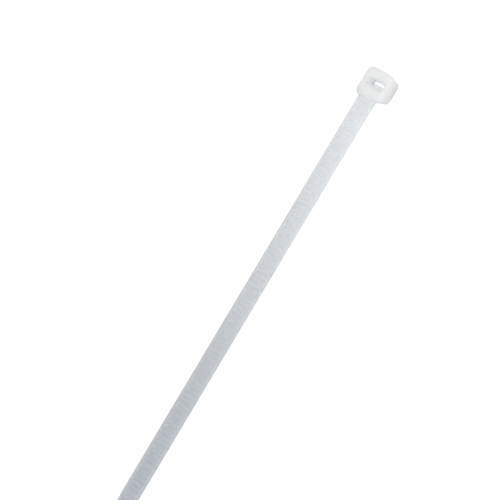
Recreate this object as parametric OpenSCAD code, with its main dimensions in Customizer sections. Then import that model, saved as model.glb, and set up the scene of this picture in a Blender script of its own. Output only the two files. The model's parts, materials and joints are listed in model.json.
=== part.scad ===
// Self-locking cable tie, moulded in one piece of nylon: a flat toothed strap with a
// tapered tail, and a box head with a slot and a locking pawl on a living hinge.
// X runs along the strap with the head at its far end, Y is across and Z is up.
// The tie lies as it comes to rest: on the head's exit face and on the tail's tip.

/* [Strap] */
// Overall length from the tip of the tail to the far end of the head
overall_len = 150; // [100:5:300]
// Width of the strap
strap_w = 4.8; // [4.3:0.1:5.4]
// Thickness of the strap over its rails
strap_t = 1.2; // [1.1:0.05:1.5]
// Rounding of the two edges on the strap's smooth back
back_r = 0.3; // [0.1:0.05:0.4]
// Rounding of the two edges on the strap's toothed side
front_r = 0.12; // [0.05:0.01:0.2]
// Width of the plain rail on each side of the teeth
rail_w = 0.65; // [0.5:0.05:0.9]

/* [Teeth] */
// Distance from one tooth to the next
tooth_pitch = 1.35; // [1.1:0.05:1.8]
// Height of a tooth
tooth_depth = 0.4; // [0.3:0.05:0.6]
// Depth of the tooth tops below the rails
crest_drop = 0.05; // [0.05:0.05:0.2]
// Width of the flat top of a tooth
crest_w = 0.2; // [0.1:0.05:0.4]
// Width of the flat at the bottom between two teeth
root_w = 0.15; // [0.1:0.05:0.3]
// Lean of a tooth's locking face, from its foot to its top
tooth_lean = 0.08; // [0.02:0.02:0.2]
// Plain strap between the head and the tooth track
track_gap = 1.2; // [0.8:0.1:3]
// Open pocket at the head end of the track, before the first tooth
track_lead = 1.5; // [1.2:0.1:3]
// Rounding of the pocket's two corners
track_r = 1.3; // [0.4:0.1:1.4]
// Rounding of the two corners at the tail end of the track
track_end_r = 0.4; // [0.2:0.1:1]

/* [Tail] */
// Length of the plain tapered tail
tail_len = 24; // [18:1:35]
// Plain strap of full thickness between the last tooth and the tail
tail_gap = 1; // [0.5:0.5:3]
// Width of the tail at its tip, before its corners are rounded
tip_w = 2.9; // [2.5:0.1:3.6]
// Rounding of the tip's corners
tip_r = 1.1; // [0.6:0.1:1.2]
// Thickness of the tail
tail_t = 0.95; // [0.85:0.05:1.05]
// Thickness at the very tip
tip_t = 0.55; // [0.4:0.05:0.7]
// Length of the bevel that thins the tip
tip_bevel = 1.2; // [0.6:0.1:2]
// Length of the slope from the strap's thickness down to the tail's
tail_slope = 1.5; // [0.8:0.1:3]
// Number of grip ribs across the tail
rib_count = 8; // [4:1:9]
// Distance from one grip rib to the next
rib_pitch = 1.7; // [1.2:0.1:1.8]
// Height of a grip rib over the tail
rib_h = 0.18; // [0.1:0.02:0.2]
// Radius of a grip rib's round top
rib_r = 0.35; // [0.25:0.05:0.5]
// Distance from the tip to the first grip rib
rib_start = 3; // [2:0.5:4]

/* [Head] */
// Height of the head from its exit face to its entry face
head_h = 5.4; // [5:0.1:6.4]
// Wall on each side of the slot
side_wall = 1.375; // [1.1:0.025:2]
// Wall beyond the slot at the entry face
tip_wall = 2.75; // [2:0.05:3.5]
// Wall between the pawl's pocket and the strap at the entry face
root_wall = 2; // [1.8:0.1:3]
// How much shorter the exit face is at the far end
tip_draft = 0.4; // [0:0.1:0.8]
// How much shorter the exit face is at the strap end
root_draft = 1.3; // [0.4:0.1:1.3]
// Rounding of the head's two upright corners at the far end
tip_corner_r = 1.5; // [0.4:0.1:1.6]
// Rounding of the head's two upright corners at the strap end
root_corner_r = 1.3; // [0.8:0.1:1.5]
// Rounding of the edges round the entry face
entry_edge_r = 0.7; // [0.2:0.05:0.8]
// Rounding of the edges round the exit face
exit_edge_r = 0.3; // [0.1:0.05:0.4]
// Step from the entry face down to the strap's rails
face_step = 0.5; // [0.3:0.1:0.8]
// Radius of the hollow blend between the head and the strap
root_blend = 0.6; // [0.3:0.1:1]

/* [Slot] */
// Room on each side of the strap in the slot
slot_side_gap = 0.125; // [0.05:0.025:0.25]
// Room over the strap's thickness in the slot
slot_play = 0.5; // [0.4:0.05:0.7]
// Rounding of the slot's corners
slot_r = 0.3; // [0.1:0.05:0.5]
// Flare of the slot's mouth at the far wall
mouth_flare = 0.15; // [0.05:0.05:0.4]
// Flare of the slot's mouth across its width, on each side
mouth_side_flare = 0.25; // [0.05:0.05:0.4]
// Depth of the flared mouth at the far wall and at the sides
mouth_depth = 0.9; // [0.3:0.1:0.9]
// Flare of the ramp that leads from the entry face down to the pawl
ramp_flare = 0.9; // [0.3:0.1:1.1]
// Upright wall between the ramp's foot and the pawl
ramp_land = 0.3; // [0.2:0.05:0.35]

/* [Pawl] */
// Thickness of the roof that carries the pawl
roof_t = 1.5; // [1.3:0.1:1.8]
// Depth of the pocket behind the slot, in which the pawl swings
pawl_room = 1.65; // [1.4:0.05:1.9]
// Gap on each side of the pawl
pawl_gap = 0.2; // [0.15:0.05:0.35]
// Thickness of the living hinge at the roof
hinge_t = 0.6; // [0.4:0.05:0.8]
// Thickness of the pawl at its nose
nose_t = 0.95; // [0.7:0.05:1.1]
// Reach of the pawl's nose past the middle of the slot
nose_reach = 0.15; // [0:0.05:0.3]
// Height of the pawl's nose above the exit face
nose_up = 2; // [0.4:0.1:2.1]
// Height of the pawl's own teeth
pawl_bite = 0.28; // [0.15:0.01:0.35]
// Number of teeth on the pawl
pawl_teeth = 2; // [1:1:2]

/* [Hidden] */
$fn = 48;
nylon = [0.90, 0.92, 0.93];

// Run-out of the cutting shapes past the surfaces that they cut
over = 1;

// Slot and head, measured from the middle of the slot
slot_w = strap_w + 2 * slot_side_gap;
slot_t = strap_t + slot_play;
head_w = slot_w + 2 * side_wall;
tip_x = slot_t / 2 + tip_wall;
pocket_x = -slot_t / 2 - pawl_room;
root_x = pocket_x - root_wall;
roof_z = head_h - roof_t;
root_lean = atan(root_draft / head_h);
tip_lean = atan(tip_draft / head_h);

// Tooth track and pawl share one width
track_w = strap_w - 2 * rail_w;
pawl_w = track_w - 2 * pawl_gap;

// The strap leaves the head high up and runs straight down to the tail's tip. Its foot
// is where its back meets the head's sloping wall, set in from the entry face's edge.
slot_at = overall_len / 2 - tip_x;
root_z = head_h - face_step - strap_t;
foot_in = root_draft * (1 - root_z / head_h);
foot_at = slot_at + root_x + foot_in;
strap_run = foot_at + overall_len / 2;
lay_angle = atan(root_z / strap_run);
strap_len = strap_run / cos(lay_angle);
embed = (root_wall - foot_in) / 2;

// Tooth track along the strap, as distances from the foot
crest_z = strap_t - crest_drop;
root_floor_z = crest_z - tooth_depth;
track_start = foot_in + track_gap;
first_tooth = track_start + track_lead;
track_end = strap_len - tail_len - tail_slope - tail_gap;
tooth_count = floor((track_end - first_tooth) / tooth_pitch);
last_tooth = first_tooth + tooth_count * tooth_pitch;

function unit(v) = v / norm(v);
function half_angle(from, at, to) = acos(unit(from - at) * unit(to - at)) / 2;

// Outline with true round corners: one radius for each corner, all corners convex
module rounded_outline(points, radii) {
    last = len(points) - 1;
    before = [for (i = [0:last]) points[(i + last) % (last + 1)]];
    after = [for (i = [0:last]) points[(i + 1) % (last + 1)]];
    half = [for (i = [0:last]) half_angle(before[i], points[i], after[i])];
    polygon([
        for (i = [0:last])
            each [
                points[i] + unit(before[i] - points[i]) * radii[i] / tan(half[i]),
                points[i] + unit(after[i] - points[i]) * radii[i] / tan(half[i])
            ]
    ]);
    for (i = [0:last])
        if (radii[i] > 0)
            translate(points[i] + unit(unit(before[i] - points[i]) + unit(after[i] - points[i]))
                * radii[i] / sin(half[i]))
                circle(radii[i]);
}

// Draws an outline of X and Z and gives it a width across Y
module across(width) {
    rotate([90, 0, 0])
        linear_extrude(width, center = true)
            children();
}

// Draws an outline of Y and Z and carries it along X
module along(length) {
    rotate([90, 0, 90])
        linear_extrude(length)
            children();
}

// The strap lies along minus X here, with its back at Z zero and its foot at X zero
module strap_section() {
    rounded_outline(
        [[-strap_w / 2, 0], [strap_w / 2, 0], [strap_w / 2, strap_t], [-strap_w / 2, strap_t]],
        [back_r, back_r, front_r, front_r]
    );
}

module strap_plan() {
    rounded_outline(
        [
            [embed, -strap_w / 2],
            [embed, strap_w / 2],
            [tail_len - strap_len, strap_w / 2],
            [-strap_len, tip_w / 2],
            [-strap_len, -tip_w / 2],
            [tail_len - strap_len, -strap_w / 2]
        ],
        [0, 0, 0, tip_r, tip_r, 0]
    );
}

module strap_side() {
    polygon([
        [embed, 0],
        [-strap_len, 0],
        [-strap_len, tip_t],
        [tip_bevel - strap_len, tail_t],
        [tail_len - strap_len, tail_t],
        [tail_len + tail_slope - strap_len, strap_t],
        [embed, strap_t]
    ]);
    for (i = [0:rib_count - 1])
        translate([rib_start + i * rib_pitch - strap_len, tail_t + rib_h - rib_r])
            circle(rib_r);
}

// Saw-tooth line: each tooth is steep towards the head and slopes down towards the tail
module tooth_line() {
    polygon([
        [-track_start, strap_t + over],
        [-track_start, root_floor_z],
        for (i = [0:tooth_count - 1])
            let (at = -first_tooth - i * tooth_pitch)
                each [
                    [at, root_floor_z],
                    [at - tooth_lean, crest_z],
                    [at - tooth_lean - crest_w, crest_z],
                    [at - tooth_pitch + root_w, root_floor_z]
                ],
        [-last_tooth, root_floor_z],
        [-last_tooth, strap_t + over]
    ]);
}

module tooth_track() {
    intersection() {
        across(track_w + over)
            tooth_line();
        linear_extrude(strap_t + 2 * over)
            rounded_outline(
                [
                    [-track_start, -track_w / 2],
                    [-track_start, track_w / 2],
                    [-last_tooth, track_w / 2],
                    [-last_tooth, -track_w / 2]
                ],
                [track_r, track_r, track_end_r, track_end_r]
            );
    }
}

// Hollow blends that carry the strap's two edges and its back into the head
module root_blends() {
    linear_extrude(strap_t - front_r)
        difference() {
            translate([-root_blend, -strap_w / 2 - root_blend])
                square([root_blend + embed, strap_w + 2 * root_blend]);
            for (side = [-1, 1])
                translate([-root_blend, side * (strap_w / 2 + root_blend)])
                    circle(root_blend);
        }
    lean = root_lean - lay_angle;
    reach = root_blend / tan((90 + lean) / 2);
    across(strap_w)
        difference() {
            polygon([
                [-reach, 0],
                [-reach, strap_t / 2],
                [embed, strap_t / 2],
                [embed, -reach * cos(lean)],
                [reach * sin(lean), -reach * cos(lean)]
            ]);
            translate([-reach, -root_blend])
                circle(root_blend);
        }
}

module strap() {
    difference() {
        intersection() {
            translate([-strap_len, 0, 0])
                along(strap_len + embed)
                    strap_section();
            linear_extrude(strap_t)
                strap_plan();
            across(strap_w)
                strap_side();
        }
        tooth_track();
    }
    root_blends();
}

// End wall of the head with its two round upright corners, leaning in towards the exit
// face. It meets the entry face's level at X zero, and the head lies on its plus X side.
module end_wall(lean, corner_r) {
    depth = tip_x - root_x + over;
    below = head_h / cos(lean) + depth * tan(lean) + over;
    rotate([0, -lean, 0])
        translate([0, 0, -below])
            linear_extrude(below + over)
                rounded_outline(
                    [
                        [0, -head_w / 2],
                        [depth, -head_w / 2],
                        [depth, head_w / 2],
                        [0, head_w / 2]
                    ],
                    [corner_r, 0, 0, corner_r]
                );
}

// The head stands on its exit face here, with the middle of the slot at X zero
module head_block() {
    intersection() {
        translate([root_x, 0, head_h])
            end_wall(root_lean, root_corner_r);
        translate([tip_x, 0, head_h])
            mirror([1, 0, 0])
                end_wall(tip_lean, tip_corner_r);
        across(head_w)
            rounded_outline(
                [
                    [root_x + root_draft, 0],
                    [tip_x - tip_draft, 0],
                    [tip_x, head_h],
                    [root_x, head_h]
                ],
                [exit_edge_r, exit_edge_r, entry_edge_r, entry_edge_r]
            );
        translate([root_x, 0, 0])
            along(tip_x - root_x)
                rounded_outline(
                    [
                        [-head_w / 2, 0],
                        [head_w / 2, 0],
                        [head_w / 2, head_h],
                        [-head_w / 2, head_h]
                    ],
                    [exit_edge_r, exit_edge_r, entry_edge_r, entry_edge_r]
                );
    }
}

// The mouth seen along the slot's width: the ramp on the pawl's side and the flare of the
// far wall, both drawn on past the entry face
module mouth_slope() {
    foot_z = roof_z + ramp_land;
    polygon([
        [-slot_t / 2, foot_z],
        [slot_t / 2, foot_z],
        [slot_t / 2, head_h - mouth_depth],
        [slot_t / 2 + 2 * mouth_flare, head_h + mouth_depth],
        [-slot_t / 2 - 2 * ramp_flare, 2 * head_h - foot_z]
    ]);
}

// The mouth seen along the strap: a flare at each side, drawn on past the entry face
module mouth_flanks() {
    polygon([
        [-slot_w / 2, roof_z],
        [slot_w / 2, roof_z],
        [slot_w / 2, head_h - mouth_depth],
        [slot_w / 2 + 2 * mouth_side_flare, head_h + mouth_depth],
        [-slot_w / 2 - 2 * mouth_side_flare, head_h + mouth_depth],
        [-slot_w / 2, head_h - mouth_depth]
    ]);
}

module slot_cut() {
    translate([0, 0, -over])
        linear_extrude(head_h + 2 * over)
            rounded_outline(
                [
                    [-slot_t / 2, -slot_w / 2],
                    [slot_t / 2, -slot_w / 2],
                    [slot_t / 2, slot_w / 2],
                    [-slot_t / 2, slot_w / 2]
                ],
                [slot_r, slot_r, slot_r, slot_r]
            );
    intersection() {
        across(head_w)
            mouth_slope();
        translate([root_x, 0, 0])
            along(tip_x - root_x)
                mouth_flanks();
    }
}

module pawl_pocket() {
    translate([pocket_x, -track_w / 2, -over])
        cube([pawl_room + slot_t / 2, track_w, roof_z + over]);
}

// The pawl hangs from the roof and leans across the slot, with its teeth towards the
// far wall: each tooth slopes on the entry side and is square on the exit side
module pawl() {
    front_x = -slot_t / 2;
    lean = (nose_reach - front_x) / (roof_z - nose_up);
    across(pawl_w)
        polygon([
            [front_x - hinge_t, roof_z + ramp_land / 2],
            [front_x, roof_z + ramp_land / 2],
            [front_x, roof_z],
            for (i = [pawl_teeth - 1:-1:0])
                let (
                    at = nose_up + i * tooth_pitch,
                    reach = nose_reach - i * tooth_pitch * lean
                )
                    each i > 0
                        ? [[reach, at], [reach - pawl_bite, at]]
                        : [[reach, at]],
            [nose_reach - nose_t, nose_up],
            [front_x - hinge_t, roof_z]
        ]);
}

module head() {
    difference() {
        head_block();
        slot_cut();
        pawl_pocket();
    }
    pawl();
}

module cable_tie() {
    color(nylon) {
        translate([slot_at, 0, 0])
            head();
        translate([foot_at, 0, root_z])
            rotate([0, -lay_angle, 0])
                strap();
    }
}

cable_tie();
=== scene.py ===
"""A cable tie moulded in natural nylon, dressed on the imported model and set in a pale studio.

Lengths are in metres, in the row's frame: X runs along the strap with the head at its far
end, Y is across and Z is up. The tie lies on its head's exit face and on its tail's tip.
Every surface is a grid of points worked out with numpy, and the grids are joined into one
closed moulding.
"""

from __future__ import annotations

import json
import logging
import math
from collections.abc import Mapping
from dataclasses import dataclass, field
from enum import Enum
from typing import Any

import bpy
import numpy as np
from mathutils import Matrix, Vector

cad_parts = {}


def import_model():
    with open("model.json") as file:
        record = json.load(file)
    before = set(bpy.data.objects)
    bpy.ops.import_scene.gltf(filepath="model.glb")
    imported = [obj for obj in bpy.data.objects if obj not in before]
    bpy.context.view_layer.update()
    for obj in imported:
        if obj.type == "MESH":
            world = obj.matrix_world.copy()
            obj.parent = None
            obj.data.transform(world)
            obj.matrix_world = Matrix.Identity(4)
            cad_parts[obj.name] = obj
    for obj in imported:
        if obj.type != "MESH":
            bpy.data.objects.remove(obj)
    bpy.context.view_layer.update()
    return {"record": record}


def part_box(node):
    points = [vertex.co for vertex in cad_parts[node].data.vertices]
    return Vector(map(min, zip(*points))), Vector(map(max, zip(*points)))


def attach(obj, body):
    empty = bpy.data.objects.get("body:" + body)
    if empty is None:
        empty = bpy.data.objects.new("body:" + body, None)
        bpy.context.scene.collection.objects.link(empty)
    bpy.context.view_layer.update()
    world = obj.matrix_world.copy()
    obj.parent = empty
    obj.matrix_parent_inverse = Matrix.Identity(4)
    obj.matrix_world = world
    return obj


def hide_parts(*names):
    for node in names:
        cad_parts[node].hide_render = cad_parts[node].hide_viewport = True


Array = np.ndarray

NODE = "cable_tie"
BODY = "root"
TOTAL_LENGTH = 0.150
NOISE_MIDDLE = 0.5

log = logging.getLogger("cable_tie")


class Join(Enum):
    """How one closed shape is worked into another."""

    ADD = "UNION"
    CUT = "DIFFERENCE"


class Blend(Enum):
    """How a Mix node lays one colour over another."""

    MIX = "MIX"
    MULTIPLY = "MULTIPLY"


# Shapes


def unit(vectors: Array) -> Array:
    """Each vector divided by its own length."""
    return vectors / np.linalg.norm(vectors, axis=-1, keepdims=True)


def rounded_path(corners: Array, radii: Array, steps: int, closed: bool = True) -> Array:
    """Runs a line through corners and puts an arc in place of each one.

    An arc of radius r leaves the two sides at r / tan(a / 2) from a corner of angle a. Its
    points are centre + r * slerp(p, q, t), with p and q the directions from the centre to
    the two places where it leaves the sides.

    Args:
        corners: The corners in order, one row each. No three are in line.
        radii: Radius of the arc at each corner.
        steps: Number of chords in an arc.
        closed: Whether the last corner joins the first. The ends stay sharp if not.

    Returns:
        The points of the line, one row each.
    """
    to_before = unit(np.roll(corners, 1, axis=0) - corners)
    to_after = unit(np.roll(corners, -1, axis=0) - corners)
    half = np.arccos(np.clip((to_before * to_after).sum(axis=1), -1, 1)) / 2
    reach = (radii / np.tan(half))[:, None]
    centre = corners + unit(to_before + to_after) * (radii / np.sin(half))[:, None]
    start = (corners + to_before * reach - centre)[:, None]
    end = (corners + to_after * reach - centre)[:, None]
    sweep = (math.pi - 2 * half)[:, None]
    t = np.linspace(0, 1, steps + 1)[None, :]
    weights = [np.sin((1 - t) * sweep) / np.sin(sweep), np.sin(t * sweep) / np.sin(sweep)]
    arcs = centre[:, None] + weights[0][..., None] * start + weights[1][..., None] * end
    if closed:
        return arcs.reshape(-1, 2)
    return np.concatenate([corners[:1], arcs[1:-1].reshape(-1, 2), corners[-1:]])


def hollow(distance: Array, radius: float, reach: float = 1.0) -> Array:
    """Rise of a hollow fillet at a distance from its foot.

    The rise is r - sqrt(r^2 - g^2) with g = r - d, which is r at the foot and 0 past the
    radius. It stays level from where g meets reach * r.

    Args:
        distance: Distances d from the foot.
        radius: Radius r of the fillet.
        reach: Share of the radius over which the fillet still rises.

    Returns:
        The rise at each distance.
    """
    gap = np.clip(radius - distance, 0, reach * radius)
    return radius - np.sqrt(radius**2 - gap**2)


def rounded_rings(
    x_low: Array, x_high: Array, half: Array, low_r: Array, high_r: Array, steps: int
) -> Array:
    """Rectangles in plan with round corners, one for each entry of the arguments.

    A corner's points are centre + r * (cos a, sin a) over a quarter turn.

    Args:
        x_low: Low X of each rectangle.
        x_high: High X of each rectangle.
        half: Half of each rectangle's width across Y.
        low_r: Radius of the two corners at low X.
        high_r: Radius of the two corners at high X.
        steps: Number of chords in a corner.

    Returns:
        An array of rings by points by X and Y, running anticlockwise seen from above.
    """
    radius = np.stack([high_r, high_r, low_r, low_r], axis=1)
    ends = np.stack([x_high, x_high, x_low, x_low], axis=1)
    centre_x = ends - radius * np.array([1, 1, -1, -1])
    centre_y = (half[:, None] - radius) * np.array([-1, 1, 1, -1])
    turn = np.radians(np.array([-90, 0, 90, 180])[:, None] + np.linspace(0, 90, steps + 1))
    x = centre_x[..., None] + radius[..., None] * np.cos(turn)
    y = centre_y[..., None] + radius[..., None] * np.sin(turn)
    return np.stack([x, y], axis=-1).reshape(len(half), -1, 2)


def ring_quads(rows: int, columns: int, wrap: bool) -> Array:
    """Quads between the neighbours in a grid of rings, each of which closes on itself.

    Quad (i, j) has the corners (i, j), (i, j + 1), (i + 1, j + 1) and (i + 1, j).

    Args:
        rows: Number of rings.
        columns: Number of points in a ring.
        wrap: Whether the last ring joins the first.

    Returns:
        The quads as rows of four indices.
    """
    i = np.arange(rows if wrap else rows - 1)[:, None] * columns
    j = np.arange(columns)[None, :]
    up = (i + columns) % (rows * columns)
    right = (j + 1) % columns
    return np.stack([i + j, i + right, up + right, up + j], axis=-1).reshape(-1, 4)


def add_object(name: str, data: bpy.types.ID) -> bpy.types.Object:
    """Makes an object of a mesh, lamp or camera and puts it into the scene."""
    made = bpy.data.objects.new(name, data)
    bpy.context.scene.collection.objects.link(made)
    return made


def add_mesh(name: str, points: Array, faces: list[list[int]]) -> bpy.types.Object:
    """Makes an object of points and of the faces between them.

    Args:
        name: Name of the object and its mesh.
        points: The points, one row each.
        faces: The indices of each face's points, anticlockwise seen from outside.

    Returns:
        The new object, with its place in its mesh.
    """
    mesh = bpy.data.meshes.new(name)
    mesh.from_pydata(points.tolist(), [], faces)
    mesh.update()
    return add_object(name, mesh)


def solid(name: str, rings: Array, wrap: bool = False) -> bpy.types.Object:
    """Puts a grid of closed rings into a new object, and closes its two ends if it has any.

    Args:
        name: Name of the object.
        rings: An array of rings by points by X, Y and Z. Seen from the last ring, each
            ring runs anticlockwise, so that the faces point outwards.
        wrap: Whether the last ring joins the first.

    Returns:
        The new object, with its place in its mesh.
    """
    rows, columns = rings.shape[:2]
    faces = ring_quads(rows, columns, wrap).tolist()
    if not wrap:
        first = np.arange(columns)
        faces += [first[::-1].tolist(), (first + (rows - 1) * columns).tolist()]
    return add_mesh(name, rings.reshape(-1, 3), faces)


def work_in(base: bpy.types.Object, tool: bpy.types.Object, how: Join) -> None:
    """Adds a closed shape to another or cuts it from it, and deletes the tool.

    Args:
        base: The object that keeps the result.
        tool: The object that is added or cut away.
        how: Whether it is added or cut away.
    """
    boolean = base.modifiers.new(tool.name, "BOOLEAN")
    boolean.object = tool
    boolean.operation = how.value
    boolean.solver = "EXACT"
    depsgraph = bpy.context.evaluated_depsgraph_get()
    worked = bpy.data.meshes.new_from_object(base.evaluated_get(depsgraph))
    base.modifiers.clear()
    spent = [base.data, tool.data]
    base.data = worked
    bpy.data.objects.remove(tool)
    for mesh in spent:
        bpy.data.meshes.remove(mesh)


# The moulding


@dataclass
class Head:
    """The box head with its slot, the pawl's pocket and the pawl.

    X is measured here from the middle of the slot, and Z from the exit face. A flare is how
    much further the slot's mouth reaches at the entry face, and a draft is how much further
    in an end wall stands at the exit face. Steps are the chords of an arc.
    """

    middle: float
    width: float
    height: float
    slot_length: float = 5.05e-3
    slot_depth: float = 1.7e-3
    slot_round: float = 0.3e-3
    mouth_flare: float = 0.15e-3
    ramp_flare: float = 0.9e-3
    mouth_side_flare: float = 0.25e-3
    mouth_depth: float = 0.9e-3
    mouth_lip: float = 0.3e-3
    ramp_land: float = 0.3e-3
    mouth_bend: float = 1e-3
    exit_lip: float = 0.1e-3
    tip_wall: float = 2.75e-3
    root_wall: float = 2.0e-3
    tip_draft: float = 0.4e-3
    root_draft: float = 1.3e-3
    tip_corner: float = 1.5e-3
    root_corner: float = 1.3e-3
    entry_edge: float = 0.7e-3
    exit_edge: float = 0.3e-3
    roof: float = 1.5e-3
    pocket_depth: float = 1.65e-3
    pocket_width: float = 3.5e-3
    pocket_round: float = 0.2e-3
    pocket_past: float = 1.5e-3
    pawl_width: float = 3.1e-3
    pawl_edge: float = 0.05e-3
    hinge: float = 0.6e-3
    hinge_step: float = 0.04e-3
    hinge_back_round: float = 0.5e-3
    hinge_front_round: float = 0.3e-3
    nose: float = 0.95e-3
    nose_reach: float = 0.15e-3
    nose_height: float = 2e-3
    heel_round: float = 0.2e-3
    bite: float = 0.28e-3
    bite_round: float = 0.08e-3
    tooth_pitch: float = 1.35e-3
    corner_steps: int = 10
    edge_steps: int = 8
    pawl_steps: int = 3
    level_step: float = 1e-5

    @property
    def tip(self) -> float:
        """X of the far end at the entry face."""
        return self.slot_depth / 2 + self.tip_wall

    @property
    def pocket_end(self) -> float:
        """X of the pocket's wall that is nearest the strap."""
        return -self.slot_depth / 2 - self.pocket_depth

    @property
    def root(self) -> float:
        """X of the strap's end at the entry face."""
        return self.pocket_end - self.root_wall

    @property
    def root_lean(self) -> float:
        """Angle by which the wall at the strap leans from upright."""
        return math.atan(self.root_draft / self.height)

    def side_line(self, foot: float, top: float) -> Array:
        """Outline of one wall in the plane of Z, rounded at the exit and the entry face.

        Args:
            foot: Place of the wall at the exit face.
            top: Place of the wall at the entry face.

        Returns:
            The wall's points as rows of place and Z, from the exit to the entry face.
        """
        corners = np.array([[0, 0], [foot, 0], [top, self.height], [0, self.height]])
        radii = np.array([0, self.exit_edge, self.entry_edge, 0])
        return rounded_path(corners, radii, self.edge_steps, closed=False)[1:-1]

    def outer_rings(self) -> Array:
        """Rings up the outside of the head, from the exit face to the entry face."""
        root = self.side_line(self.root + self.root_draft, self.root)
        tip = self.side_line(self.tip - self.tip_draft, self.tip)
        side = self.side_line(self.width / 2, self.width / 2)
        z = side[:, 1]
        x_low = np.interp(z, root[:, 1], root[:, 0])
        x_high = np.interp(z, tip[:, 1], tip[:, 0])
        inset = self.width / 2 - side[:, 0]
        root_r, tip_r = self.root_corner - inset, self.tip_corner - inset
        rings = rounded_rings(x_low, x_high, side[:, 0], root_r, tip_r, self.corner_steps)
        return self.lift(rings, z)

    def mouth_line(self, wall: float, flare: float, depth: float) -> Array:
        """Half-outline of the slot in the plane of Z, from the entry to the exit face.

        Args:
            wall: Half of the slot's size below its mouth.
            flare: How much further the mouth reaches.
            depth: Depth at which the flare ends.

        Returns:
            The outline's points as rows of half-size and Z, with the Z falling.
        """
        corners = np.array(
            [
                [2 * (wall + flare), self.height],
                [wall + flare, self.height],
                [wall, self.height - depth],
                [wall, 0],
                [2 * (wall + flare), 0],
            ]
        )
        radii = np.array([0, self.mouth_lip, self.mouth_bend, self.exit_lip, 0])
        return rounded_path(corners, radii, self.edge_steps, closed=False)[1:-1]

    def slot_rings(self) -> Array:
        """Rings down the slot, from its flared mouth to the exit face.

        The mouth flares most on the pawl's side, where a ramp leads down to the pawl.

        Returns:
            Rings by points by X, Y and Z.
        """
        lines = [
            self.mouth_line(self.slot_depth / 2, self.ramp_flare, self.roof - self.ramp_land),
            self.mouth_line(self.slot_depth / 2, self.mouth_flare, self.mouth_depth),
            self.mouth_line(self.slot_length / 2, self.mouth_side_flare, self.mouth_depth),
        ]
        levels = np.concatenate([line[:, 1] for line in lines]) / self.level_step
        z = np.unique(np.round(levels))[::-1] * self.level_step
        ramp, wall, side = [np.interp(z, line[::-1, 1], line[::-1, 0]) for line in lines]
        corner = self.slot_round + side - self.slot_length / 2
        rings = rounded_rings(-ramp, wall, side, corner, corner, self.corner_steps)
        return self.lift(rings, z)

    def lift(self, rings: Array, z: Array) -> Array:
        """Gives each plan ring its height, and moves it to the head's place in the row.

        Args:
            rings: Rings by points by X and Y.
            z: Height of each ring.

        Returns:
            Rings by points by X, Y and Z.
        """
        heights = np.broadcast_to(z[:, None, None], rings.shape[:2] + (1,))
        return np.concatenate([rings + [self.middle, 0], heights], axis=2)

    def shell(self) -> bpy.types.Object:
        """The head with its slot: one loop of rings, up the outside and down the slot."""
        return solid("head", np.concatenate([self.outer_rings(), self.slot_rings()]), wrap=True)

    def pocket(self) -> bpy.types.Object:
        """The room of the pawl: rings from under the exit face up to the roof.

        Its wall flares at the exit face as a fillet does, and draws in under the roof. Past
        the exit face, where it cuts nothing, it only has to stay wide.

        Returns:
            The closed shape that is cut away.
        """
        roof_z = self.height - self.roof
        turn = np.linspace(0, math.pi / 2, self.edge_steps + 1)
        lip_z = self.exit_lip * (1 - np.cos(turn))
        crown_z = roof_z - self.pocket_round * (1 - np.sin(turn))
        z = np.concatenate([[-self.pocket_past], lip_z, crown_z])
        grow = hollow(z, self.exit_lip)
        grow[0] = 2 * self.exit_lip
        shrink = hollow(roof_z - z, self.pocket_round)
        change = grow - shrink
        corner = self.pocket_round + np.maximum(change, -self.pocket_round / 2)
        rings = rounded_rings(
            self.pocket_end - change,
            np.zeros_like(z),
            self.pocket_width / 2 + change,
            corner,
            np.full_like(z, self.pocket_round / 2),
            self.corner_steps,
        )
        return solid("pocket", self.lift(rings, z))

    def pawl_outline(self) -> Array:
        """Outline of the pawl in X and Z, rounded at each corner, anticlockwise.

        It hangs from the roof behind the slot and leans across it. Each tooth is square
        towards the exit and slopes towards the entry.

        Returns:
            The outline's points as rows of X and Z.
        """
        front = -self.slot_depth / 2
        roof_z = self.height - self.roof
        lean = (self.nose_reach - front) / (roof_z - self.nose_height)
        second = self.nose_reach - self.tooth_pitch * lean
        second_z = self.nose_height + self.tooth_pitch
        held = roof_z + self.ramp_land / 2
        corners_and_radii = np.array(
            [
                [front - self.hinge, held, self.pawl_edge],
                [front - self.hinge, roof_z - self.hinge_step, self.hinge_back_round],
                [self.nose_reach - self.nose, self.nose_height, self.heel_round],
                [self.nose_reach, self.nose_height, self.pawl_edge],
                [second - self.bite, second_z, self.bite_round],
                [second, second_z, self.pawl_edge],
                [front - self.hinge_step, roof_z, self.hinge_front_round],
                [front - self.hinge_step, held, self.pawl_edge],
            ]
        )
        return rounded_path(corners_and_radii[:, :2], corners_and_radii[:, 2], self.edge_steps // 2)

    def pawl(self) -> bpy.types.Object:
        """The pawl: its outline carried across Y, drawn in at the two sides to round them."""
        outline = self.pawl_outline()
        tangent = unit(np.roll(outline, -1, axis=0) - np.roll(outline, 1, axis=0))
        outwards = np.stack([tangent[:, 1], -tangent[:, 0]], axis=1)
        turn = np.linspace(0, math.pi / 2, self.pawl_steps + 1)
        inset = np.concatenate([1 - np.sin(turn), 1 - np.sin(turn[::-1])]) * self.pawl_edge
        rim = self.pawl_width / 2 - self.pawl_edge * (1 - np.cos(turn))
        y = np.concatenate([rim, -rim[::-1]])
        flat = outline[None] - outwards[None] * inset[:, None, None]
        level = np.broadcast_to(y[:, None], flat.shape[:2])
        rings = np.stack([flat[..., 0] + self.middle, level, flat[..., 1]], axis=2)
        return solid("pawl", rings)

    def build(self) -> bpy.types.Object:
        """The whole head as one closed shape."""
        head = self.shell()
        work_in(head, self.pocket(), Join.CUT)
        work_in(head, self.pawl(), Join.ADD)
        return head


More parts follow.
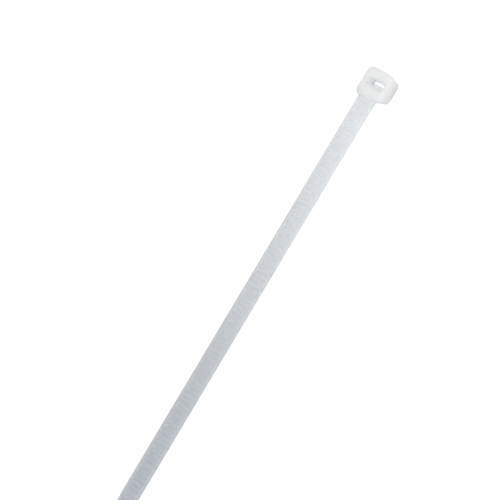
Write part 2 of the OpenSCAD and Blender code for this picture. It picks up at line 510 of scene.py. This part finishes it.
@dataclass
class Strap:
    """The toothed strap with its tapered tail.

    Places along it are distances from its foot, where its back meets the head's leaning
    wall, and are negative inside the head. Heights are measured from its back. The teeth
    are shallower than the solid's and lean more, as they look in the photograph.
    """

    head: Head
    total: float
    width: float = 4.8e-3
    thickness: float = 1.2e-3
    back_round: float = 0.3e-3
    front_round: float = 0.12e-3
    face_step: float = 0.5e-3
    root_blend: float = 0.6e-3
    top_blend: float = 0.45e-3
    blend_reach: float = 0.96
    track_gap: float = 1.2e-3
    track_lead: float = 1.5e-3
    track_round: float = 1.3e-3
    track_end_round: float = 0.4e-3
    tooth_depth: float = 0.3e-3
    crest_drop: float = 0.05e-3
    crest_width: float = 0.2e-3
    valley_width: float = 0.15e-3
    tooth_lean: float = 0.2e-3
    tooth_round: float = 0.12e-3
    ramp_round: float = 0.5e-3
    lip_round: float = 0.06e-3
    foot_round: float = 0.08e-3
    tail_length: float = 24e-3
    tail_gap: float = 1e-3
    tail_thickness: float = 0.95e-3
    tail_slope: float = 1.5e-3
    slope_round: float = 2e-3
    tip_width: float = 2.9e-3
    tip_round: float = 1.1e-3
    tip_thickness: float = 0.55e-3
    tip_bevel: float = 1.2e-3
    bevel_round: float = 1e-3
    end_round: float = 0.12e-3
    rib_count: int = 8
    rib_pitch: float = 1.7e-3
    rib_height: float = 0.18e-3
    rib_half: float = 0.4e-3
    rib_start: float = 3e-3
    rib_share: float = 0.8
    arc_steps: int = 3
    tooth_steps: int = 2
    tip_steps: int = 12
    slope_steps: int = 4
    blend_steps: int = 9
    track_end_steps: int = 5
    rib_steps: int = 10
    closest: float = 4e-6

    @property
    def root_z(self) -> float:
        """Height of the strap's back where it meets the head."""
        return self.head.height - self.face_step - self.thickness

    @property
    def foot_inset(self) -> float:
        """How far the foot is set in from the entry face's end, by the wall's lean."""
        return self.head.root_draft * (1 - self.root_z / self.head.height)

    @property
    def foot(self) -> float:
        """X of the foot in the row."""
        return self.head.middle + self.head.root + self.foot_inset

    @property
    def lay(self) -> float:
        """Angle by which the strap falls from the head to the tail's tip."""
        return math.atan(self.root_z / (self.foot + self.total / 2))

    @property
    def length(self) -> float:
        """Length from the foot to the tip."""
        return (self.foot + self.total / 2) / math.cos(self.lay)

    @property
    def embed(self) -> float:
        """How far the strap is carried on inside the head."""
        return (self.head.root_wall - self.foot_inset) / 2

    @property
    def back_lean(self) -> float:
        """Angle between the head's wall and the strap's own upright."""
        return self.head.root_lean - self.lay

    @property
    def back_reach(self) -> float:
        """Where the back's fillet leaves the strap's back."""
        return self.root_blend / math.tan((math.pi / 2 + self.back_lean) / 2)

    @property
    def top_foot(self) -> float:
        """Where the head's wall stands at the height of the rails."""
        return self.thickness * math.tan(self.back_lean)

    @property
    def track_width(self) -> float:
        """Width of the tooth track, which is that of the pawl's pocket."""
        return self.head.pocket_width

    @property
    def tooth_pitch(self) -> float:
        """Distance from one tooth to the next, which the pawl's teeth share."""
        return self.head.tooth_pitch

    @property
    def track_start(self) -> float:
        """Where the tooth track starts."""
        return self.foot_inset + self.track_gap

    @property
    def first_tooth(self) -> float:
        """Where the first tooth starts."""
        return self.track_start + self.track_lead

    @property
    def tooth_count(self) -> int:
        """How many whole teeth fit before the tail."""
        room = self.length - self.tail_length - self.tail_slope - self.tail_gap - self.first_tooth
        return int(room // self.tooth_pitch)

    @property
    def track_end(self) -> float:
        """Where the tooth track ends."""
        return self.first_tooth + self.tooth_count * self.tooth_pitch

    def tooth_line(self) -> Array:
        """Height of the track's floor against the rails, tooth after tooth.

        A tooth rises steeply towards the head, has a narrow flat top and falls away in a
        long ramp, and its four corners are arcs. The line is one tooth repeated.

        Returns:
            Rows of distance from the foot and rise over the rails, which is negative.
        """
        crest = -self.crest_drop
        floor = crest - self.tooth_depth
        tooth = np.array(
            [
                [0, floor],
                [self.tooth_lean, crest],
                [self.tooth_lean + self.crest_width, crest],
                [self.tooth_pitch - self.valley_width, floor],
            ]
        )
        starts = self.first_tooth + self.tooth_pitch * np.arange(self.tooth_count)
        teeth = (tooth[None] + np.stack([starts, 0 * starts], axis=1)[:, None]).reshape(-1, 2)
        wall = self.tooth_lean / 2
        ends = np.array(
            [
                [self.track_start - self.track_lead, 0],
                [self.track_start, 0],
                [self.track_start + wall, floor],
                [self.track_end - wall, floor],
                [self.track_end, 0],
                [self.track_end + self.tail_gap, 0],
            ]
        )
        tooth_radii = [self.tooth_round, self.tooth_round, self.ramp_round, self.ramp_round / 2]
        end_radii = [0, self.lip_round, self.foot_round]
        corners = np.concatenate([ends[:3], teeth, ends[3:]])
        radii = np.concatenate([end_radii, np.tile(tooth_radii, self.tooth_count), end_radii[::-1]])
        return rounded_path(corners, radii, self.tooth_steps, closed=False)

    def plan_line(self) -> Array:
        """Half-width of the strap along its tapered tail, with the tip's corner rounded.

        Returns:
            Rows of distance from the foot and half-width.
        """
        corners = np.array(
            [
                [self.length - self.tail_length, self.width / 2],
                [self.length, self.tip_width / 2],
                [self.length, 0],
            ]
        )
        radii = np.array([0, self.tip_round, 0])
        return rounded_path(corners, radii, self.tip_steps, closed=False)[:-1]

    def top_line(self) -> Array:
        """Thickness of the strap along its length, with the slopes eased into each other.

        Returns:
            Rows of distance from the foot and thickness.
        """
        tail = self.length - self.tail_length
        corners = np.array(
            [
                [0, self.thickness],
                [tail - self.tail_slope, self.thickness],
                [tail, self.tail_thickness],
                [self.length - self.tip_bevel, self.tail_thickness],
                [self.length, self.tip_thickness],
            ]
        )
        radii = np.array([0, self.slope_round, self.slope_round, self.bevel_round, 0])
        return rounded_path(corners, radii, self.slope_steps, closed=False)

    def stations(self) -> Array:
        """Distances from the foot at which the strap's section is worked out.

        They are close together along each blend, arc, tooth and rib. The rest of the arc at
        the track's end lies among the last tooth's own stations.

        Returns:
            The distances in rising order.
        """
        quarter = 1 - np.cos(np.linspace(0, math.pi / 2, self.blend_steps + 1))
        ribs = self.length - self.rib_start - self.rib_pitch * np.arange(self.rib_count)
        crossing = np.linspace(-self.rib_half, self.rib_half, self.rib_steps + 1)
        parts = [
            [-self.embed],
            self.root_blend * quarter,
            self.back_reach - self.root_blend * (1 - quarter),
            self.top_foot + self.root_blend * quarter,
            self.tooth_line()[1:-1, 0],
            self.track_start + self.track_round * quarter,
            self.track_end - self.track_end_round * quarter[: self.track_end_steps + 1],
            self.top_line()[1:, 0],
            self.plan_line()[:, 0],
            (ribs[:, None] + crossing[None, :]).ravel(),
            self.length - self.end_round * quarter,
        ]
        spread = np.sort(np.concatenate(parts))
        return spread[np.diff(spread, prepend=-np.inf) > self.closest]

    def rise(self, s: Array) -> Array:
        """Height of the middle band over the rails: teeth below them, grip ribs above.

        A rib is h * cos^2(pi * d / 2b) high at a distance d from its middle, out to d = b.

        Args:
            s: Distances from the foot.

        Returns:
            The rise at each distance.
        """
        line = self.tooth_line()
        teeth = np.interp(s, line[:, 0], line[:, 1])
        along = (self.length - self.rib_start - s) / self.rib_pitch
        nearest = np.clip(np.round(along), 0, self.rib_count - 1)
        away = np.clip(np.abs(along - nearest) * self.rib_pitch, 0, self.rib_half)
        ribs = self.rib_height * np.cos(math.pi / 2 * away / self.rib_half) ** 2
        return teeth + ribs

    def band(self, s: Array, half: Array) -> Array:
        """Half-width of the middle band, which is an arch where the track starts.

        Args:
            s: Distances from the foot.
            half: Half-width of the strap there.

        Returns:
            The band's half-width at each distance.
        """
        wall = self.track_width / 2
        arch = wall - hollow(s - self.track_start, self.track_round)
        close = wall - hollow(self.track_end - s, self.track_end_round)
        share = np.interp(s, [self.track_end, self.length - self.tail_length], [0, 1])
        return np.minimum(arch, close) * (1 - share) + self.rib_share * half * share

    def surfaces(self, s: Array) -> tuple[Array, Array, Array, Array]:
        """Where the sides, back and rails run, blended into the head and round the tip.

        Args:
            s: Distances from the foot.

        Returns:
            The half-width, the height of the back, the height of the rails, and the scale of
            the corners' radii, which is 1 on the full strap.
        """
        plan, top = self.plan_line(), self.top_line()
        ease = hollow(self.length - s, self.end_round)
        half = np.interp(s, plan[:, 0], plan[:, 1]) - ease
        body_t = np.interp(s, top[:, 0], top[:, 1])
        front = body_t + hollow(s - self.top_foot, self.top_blend, self.blend_reach) - ease
        into_wall = s - self.back_reach + self.root_blend
        back_share = self.blend_reach * math.cos(self.back_lean)
        back = ease - hollow(into_wall, self.root_blend, back_share)
        return half, back, front, (body_t - 2 * ease) / self.thickness

    def sections(self) -> Array:
        """The strap's section at every station, as rings of Y and height over the back.

        Half a ring is a round corner at the back, one at the front, the plain rail, the
        round lip of the band, its wall, the round foot of the wall and the band's floor.
        The other half is its mirror image. Only the two outer corners flare at the head.

        Returns:
            An array of stations by points by distance, Y and height.
        """
        s = self.stations()
        half, back, front, scale = self.surfaces(s)
        back_r, front_r = self.back_round * scale, self.front_round * scale
        band, rise = self.band(s, half), self.rise(s)
        lip = self.lip_round * half / half.max()
        foot = self.foot_round * half / half.max()
        bend = np.minimum(np.abs(rise) / 2, self.lip_round) * np.sign(rise)
        a = np.linspace(0, math.pi / 2, self.arc_steps + 1)[:, None]
        sin, cos = np.sin(a), np.cos(a)
        y = [
            half - back_r + back_r * sin,
            half - front_r + front_r * cos,
            band + lip - lip * sin,
            band - foot + foot * cos,
        ]
        z = [
            back + back_r - back_r * cos,
            front - front_r + front_r * sin,
            front + bend * (1 - cos),
            front + rise - bend * (1 - sin),
        ]
        level = np.concatenate(z)
        flare = hollow(s - level * math.tan(self.back_lean), self.root_blend, self.blend_reach)
        outer_points = 2 * (self.arc_steps + 1)
        flare[outer_points:] = 0
        side = np.stack([-np.concatenate(y) - flare, level], axis=-1)
        middle = np.stack([[0 * s, back], [0 * s, front + rise]]).transpose(0, 2, 1)
        mirrored = side[::-1] * [-1, 1]
        ring = np.concatenate([middle[:1], side, middle[1:], mirrored]).transpose(1, 0, 2)
        places = np.broadcast_to(s[:, None, None], ring.shape[:2] + (1,))
        return np.concatenate([places, ring], axis=2)

    def build(self) -> bpy.types.Object:
        """The strap, laid in the row's frame from the head down to the tail's tip.

        A point goes to foot - s * cos(lay) - h * sin(lay) in X and to the foot's height
        - s * sin(lay) + h * cos(lay) in Z.

        Returns:
            The strap as one closed shape.
        """
        s, y, h = np.moveaxis(self.sections(), 2, 0)
        x = self.foot - s * math.cos(self.lay) - h * math.sin(self.lay)
        z = self.root_z - s * math.sin(self.lay) + h * math.cos(self.lay)
        return solid("strap", np.stack([x, y, z], axis=2))


# Materials


@dataclass
class Socket:
    """A value in a shader that adds a Math node when it is used in an expression."""

    graph: Graph
    link: bpy.types.NodeSocket

    def maths(self, operation: str, first: Any, second: Any) -> Socket:
        """Adds one Math node for two values or sockets."""
        return self.graph.node("ShaderNodeMath", {"operation": operation}, {0: first, 1: second})

    def __add__(self, other: Any) -> Socket:
        """This value plus another."""
        return self.maths("ADD", self, other)

    __radd__ = __add__

    def __sub__(self, other: Any) -> Socket:
        """This value minus another."""
        return self.maths("SUBTRACT", self, other)

    def __rsub__(self, other: Any) -> Socket:
        """Another value minus this one."""
        return self.maths("SUBTRACT", other, self)

    def __mul__(self, other: Any) -> Socket:
        """This value times another."""
        return self.maths("MULTIPLY", self, other)

    __rmul__ = __mul__


@dataclass
class Graph:
    """The node tree of one material or world."""

    tree: bpy.types.NodeTree

    @classmethod
    def of(cls, owner: bpy.types.Material | bpy.types.World) -> Graph:
        """The graph of a material or world, emptied."""
        owner.use_nodes = True
        owner.node_tree.nodes.clear()
        return cls(owner.node_tree)

    def node(
        self,
        kind: str,
        settings: Mapping[str, Any] | None = None,
        inputs: Mapping[str | int, Any] | None = None,
        output: str | int = 0,
    ) -> Socket:
        """Adds a node, gives it its settings, and then fills or links its inputs.

        Args:
            kind: The node's type.
            settings: Values of the node's own properties.
            inputs: Values or sockets for the inputs, by name or number.
            output: Name or number of the output that is handed back.

        Returns:
            The chosen output.
        """
        made = self.tree.nodes.new(kind)
        for name, value in (settings or {}).items():
            setattr(made, name, value)
        for name, value in (inputs or {}).items():
            if isinstance(value, Socket):
                self.tree.links.new(value.link, made.inputs[name])
            else:
                made.inputs[name].default_value = value
        return Socket(self, made.outputs[output] if made.outputs else None)

    def colour(self, blend: Blend, factor: Any, first: Any, second: Any) -> Socket:
        """Lays one colour over another with a Mix node.

        Args:
            blend: How the second colour is laid over the first.
            factor: How much of it is laid.
            first: The colour underneath.
            second: The colour on top.

        Returns:
            The mixed colour.
        """
        settings = {"data_type": "RGBA", "blend_type": blend.value}
        # The node has sockets for each kind of value: the colours' ones are 6, 7 and 2
        inputs = {"Factor": factor, 6: first, 7: second}
        return self.node("ShaderNodeMix", settings, inputs, 2)

    def noise(self, places: Socket, scale: float, detail: float, roughness: float = 0.5) -> Socket:
        """Fractal noise over places, about 0.5 on average."""
        inputs = {"Vector": places, "Scale": scale, "Detail": detail, "Roughness": roughness}
        return self.node("ShaderNodeTexNoise", None, inputs)

    def step(self, value: Any, low: float, high: float) -> Socket:
        """A smooth step of a value, from 0 at low to 1 at high."""
        settings = {"interpolation_type": "SMOOTHSTEP"}
        inputs = {"Value": value, "From Min": low, "From Max": high}
        return self.node("ShaderNodeMapRange", settings, inputs)


def rgba(red: float, green: float, blue: float) -> tuple[float, float, float, float]:
    """An opaque colour."""
    return (red, green, blue, 1.0)


@dataclass(frozen=True)
class NaturalNylon:
    """Unpigmented nylon: milky and translucent, with a satin skin from the mould.

    Light goes deep into it, so the strap, which has little thickness, looks bluish and the head
    almost white.
    This look is painted in as painted shade: the strap's colour is darker and bluer than the
    head's.
    One colour turns into the other within a blur's length of the strap's root.
    """

    root: float
    blur: float = 1.5e-3
    strap_painted_shade: tuple[float, float, float, float] = rgba(0.8, 0.868, 0.96)
    thick: tuple[float, float, float, float] = rgba(0.991, 0.998, 1.0)
    cloud: tuple[float, float, float, float] = rgba(0.996, 0.996, 0.996)
    cloud_size: float = 2.5e-3
    cloud_detail: float = 3.0
    cloud_range: tuple[float, float] = (0.3, 0.7)
    ripple_size: float = 1.1e-3
    ripple_detail: float = 2.0
    grain_size: float = 0.09e-3
    grain_detail: float = 4.0
    grain_sharpness: float = 0.6
    coarse_share: float = 0.7
    drawn_out: tuple[float, float, float] = (0.35, 1.0, 1.0)
    scatter: float = 8e-3
    forward: float = 0.0
    ior: float = 1.53
    shine: float = 0.3
    roughness: float = 0.5
    roughness_range: float = 0.16
    grain_height: float = 4e-6

    def build(self, name: str) -> bpy.types.Material:
        """Makes the material.

        Faint clouds lie over its colour. Its roughness and the relief of its skin are shared
        out between coarse noise, drawn out along the strap, and a fine grain.

        Args:
            name: Name of the material.

        Returns:
            The material.
        """
        made = bpy.data.materials.new(name)
        graph = Graph.of(made)
        places = graph.node("ShaderNodeTexCoord", output="Object")
        drawn = graph.node("ShaderNodeMapping", None, {"Vector": places, "Scale": self.drawn_out})
        cloud = graph.noise(drawn, 1 / self.cloud_size, self.cloud_detail)
        ripple = graph.noise(drawn, 1 / self.ripple_size, self.ripple_detail)
        grain = graph.noise(places, 1 / self.grain_size, self.grain_detail, self.grain_sharpness)
        along = graph.node("ShaderNodeSeparateXYZ", None, {"Vector": places}, "X")
        # Painted shade: the strap gets a darker, bluer colour than the head, standing in for the
        # light that passes through the strap's small thickness
        painted_shade_step = graph.step(along, self.root - self.blur, self.root + self.blur)
        plain = graph.colour(Blend.MIX, painted_shade_step, self.strap_painted_shade, self.thick)
        clouded = graph.step(cloud, *self.cloud_range)
        colour = graph.colour(Blend.MULTIPLY, clouded, plain, self.cloud)
        coarse, fine = self.coarse_share, 1 - self.coarse_share
        uneven = coarse * cloud + fine * grain - NOISE_MIDDLE
        roughness = self.roughness + self.roughness_range * uneven
        height = coarse * ripple + fine * grain
        relief = {"Strength": 1.0, "Distance": self.grain_height, "Height": height}
        normal = graph.node("ShaderNodeBump", None, relief)
        shader = graph.node(
            "ShaderNodeBsdfPrincipled",
            {"subsurface_method": "RANDOM_WALK"},
            {
                "Base Color": colour,
                "Roughness": roughness,
                "IOR": self.ior,
                "Specular IOR Level": self.shine,
                "Normal": normal,
                "Subsurface Weight": 1.0,
                "Subsurface Radius": (1.0, 1.0, 1.0),
                "Subsurface Scale": self.scatter,
                "Subsurface Anisotropy": self.forward,
            },
        )
        graph.node("ShaderNodeOutputMaterial", None, {"Surface": shader})
        return made


@dataclass(frozen=True)
class PaleCard:
    """The studio's floor: pale card, which a camera sees lit from behind as well."""

    colour: tuple[float, float, float, float] = rgba(0.92, 0.92, 0.92)
    lit: float = 0.6
    glow: float = 0.7

    def build(self, name: str) -> bpy.types.Material:
        """Makes the material.

        The camera, and what shines or lets light through, see the glow plus the lamps'
        light on the card with its shadows. All else sees plain card.

        Args:
            name: Name of the material.

        Returns:
            The material.
        """
        made = bpy.data.materials.new(name)
        graph = Graph.of(made)
        card = graph.node("ShaderNodeBsdfDiffuse", None, {"Color": self.colour})
        grey = rgba(self.lit, self.lit, self.lit)
        lit = graph.node("ShaderNodeBsdfDiffuse", None, {"Color": grey})
        glow = graph.node("ShaderNodeEmission", None, {"Strength": self.glow})
        seen = graph.node("ShaderNodeAddShader", None, {0: lit, 1: glow})
        sides = {0: seen_directly(graph), 1: card, 2: seen}
        shader = graph.node("ShaderNodeMixShader", None, sides)
        graph.node("ShaderNodeOutputMaterial", None, {"Surface": shader})
        return made


def seen_directly(graph: Graph) -> Socket:
    """1 on rays of the camera, of reflections and of what is seen through the part."""
    path = graph.node("ShaderNodeLightPath", output="Is Camera Ray")
    rays = path.link.node.outputs
    return path + Socket(graph, rays["Is Glossy Ray"]) + Socket(graph, rays["Is Transmission Ray"])


# Studio


@dataclass
class SoftBox:
    """A square lamp with soft edges to its shadows."""

    name: str
    place: tuple[float, float, float]
    aim: tuple[float, float, float]
    size: float
    power: float

    def build(self) -> None:
        """Hangs the lamp at its place and turns it to its aim, unseen by the camera."""
        lamp = bpy.data.lights.new(self.name, "AREA")
        lamp.shape = "SQUARE"
        lamp.size = self.size
        lamp.energy = self.power
        made = add_object(self.name, lamp)
        made.location = self.place
        made.visible_camera = False
        made.rotation_mode = "QUATERNION"
        made.rotation_quaternion = (Vector(self.aim) - Vector(self.place)).to_track_quat("-Z", "Y")


@dataclass
class PhotoCamera:
    """A camera that sees the tie as the photograph does.

    The photograph gives the slot's place in the picture, the strap's turn from upright
    and the scale. The rest is how far the camera is tipped from straight above.
    """

    target: Vector
    picture: float = 500.0
    target_pixel: tuple[float, float] = (375.0, 82.5)
    strap_turn: float = math.radians(31.47)
    side_tip: float = math.radians(26.0)
    tail_tip: float = math.radians(-1.5)
    pixels_per_metre: float = 4020.0
    view_angle: float = math.radians(15.0)

    def build(self) -> None:
        """Places the camera and makes it the scene's own.

        With d the direction from the part to the camera and e the strap's direction as
        seen along d, the picture's up is e turned back by the strap's turn. The camera
        stands at depth focal / scale along d, moved so that the target meets its pixel.
        """
        back = Vector((-math.tan(self.tail_tip), -math.tan(self.side_tip), 1)).normalized()
        strap = Vector((1, 0, 0))
        seen = (strap - back * strap.dot(back)).normalized()
        across = back.cross(seen)
        right = seen * math.sin(self.strap_turn) - across * math.cos(self.strap_turn)
        up = seen * math.cos(self.strap_turn) + across * math.sin(self.strap_turn)
        focal = self.picture / 2 / math.tan(self.view_angle / 2)
        pixel_x, pixel_y = self.target_pixel
        offset = right * (pixel_x - self.picture / 2) + up * (self.picture / 2 - pixel_y)
        place = self.target + (back * focal - offset) / self.pixels_per_metre
        lens = bpy.data.cameras.new("photo_camera")
        lens.angle = self.view_angle
        made = add_object("photo_camera", lens)
        turn = Matrix((right, up, back)).transposed().to_4x4()
        made.matrix_world = Matrix.Translation(place) @ turn
        bpy.context.scene.camera = made


@dataclass
class Studio:
    """A plain pale floor under soft light, with white all round it."""

    floor_half: float = 1.5
    floor_cells: int = 8
    fill: float = 0.42
    bounces: int = 64
    lamps: list[SoftBox] = field(
        default_factory=lambda: [
            SoftBox("main_lamp", (0.085, -0.035, 0.12), (0.07, 0.0, 0.0), size=0.1, power=0.095),
            SoftBox("left_lamp", (0.09, 0.12, 0.06), (0.07, 0.0, 0.0), size=0.12, power=0.025),
            SoftBox("side_lamp", (0.1, -0.12, 0.03), (0.072, 0.0, 0.0), size=0.1, power=0.02),
            SoftBox("tail_lamp", (-0.085, 0.0, 0.05), (-0.07, 0.0, 0.0), size=0.05, power=0.008),
        ]
    )

    def floor(self) -> bpy.types.Object:
        """A level grid that lies where the tie rests."""
        ticks = np.linspace(-self.floor_half, self.floor_half, self.floor_cells + 1)
        x, y = np.meshgrid(ticks, ticks)
        points = np.stack([x, y, 0 * x], axis=-1).reshape(-1, 3)
        index = np.arange(len(points)).reshape(x.shape)
        corners = [index[:-1, :-1], index[:-1, 1:], index[1:, 1:], index[1:, :-1]]
        made = add_mesh("floor", points, np.stack(corners, axis=-1).reshape(-1, 4).tolist())
        made.data.materials.append(PaleCard().build("pale_card"))
        return made

    def world(self) -> None:
        """White to the camera and in reflections, and an even fill light on the part."""
        made = bpy.data.worlds.new("studio")
        graph = Graph.of(made)
        strength = self.fill + (1 - self.fill) * seen_directly(graph)
        light = graph.node("ShaderNodeBackground", None, {"Strength": strength})
        graph.node("ShaderNodeOutputWorld", None, {"Surface": light})
        bpy.context.scene.world = made

    def build(self) -> None:
        """Lays the floor and sets the lights.

        Light is followed for many bounces: natural nylon takes up so little of it that
        what is left after a few still lights the slot.
        """
        self.floor()
        self.world()
        for lamp in self.lamps:
            lamp.build()
        scene = bpy.context.scene
        scene.view_settings.view_transform = "Standard"
        scene.cycles.max_bounces = scene.cycles.diffuse_bounces = self.bounces


@dataclass
class CableTie:
    """The one moulding: head, pawl and strap in one closed surface."""

    head: Head
    strap: Strap
    finish: NaturalNylon
    crease: float = math.radians(38)

    def build(self) -> bpy.types.Object:
        """Joins the strap to the head, smooths the faces and dresses them.

        Returns:
            The finished piece.
        """
        made = self.head.build()
        work_in(made, self.strap.build(), Join.ADD)
        made.name = made.data.name = "tie_moulding"
        made.data.shade_smooth()
        made.data.set_sharp_from_angle(angle=self.crease)
        even = made.modifiers.new("even_shading", "WEIGHTED_NORMAL")
        even.keep_sharp = True
        made.data.materials.clear()
        made.data.materials.append(self.finish.build("natural_nylon"))
        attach(made, BODY)
        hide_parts(NODE)
        return made


def report(piece: bpy.types.Object) -> None:
    """Logs how many triangles a piece has and whether its surface is closed."""
    mesh = piece.data
    sides = np.zeros(len(mesh.polygons), dtype=np.int32)
    mesh.polygons.foreach_get("loop_total", sides)
    edges = np.zeros(len(mesh.loops), dtype=np.int32)
    mesh.loops.foreach_get("edge_index", edges)
    uses = np.bincount(edges, minlength=len(mesh.edges))
    open_edges = int((uses != 2).sum())
    log.info("%s: %d triangles, %d open edges", piece.name, int((sides - 2).sum()), open_edges)


def main() -> None:
    """Loads the frame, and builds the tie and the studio."""
    logging.basicConfig(level=logging.INFO, format="%(name)s: %(message)s")
    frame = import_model()
    low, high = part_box(NODE)
    mounts = {mount["name"]: mount for mount in frame["record"]["mounts"]}
    head = Head(
        middle=mounts["strap_slot"]["pos_m"][0],
        width=high.y - low.y,
        height=high.z - low.z,
    )
    strap = Strap(head=head, total=TOTAL_LENGTH)
    nylon = NaturalNylon(root=strap.foot)
    tie = CableTie(head, strap, nylon).build()
    report(tie)
    Studio().build()
    PhotoCamera(target=Vector((head.middle, 0, head.height))).build()


if __name__ == "__main__":
    main()
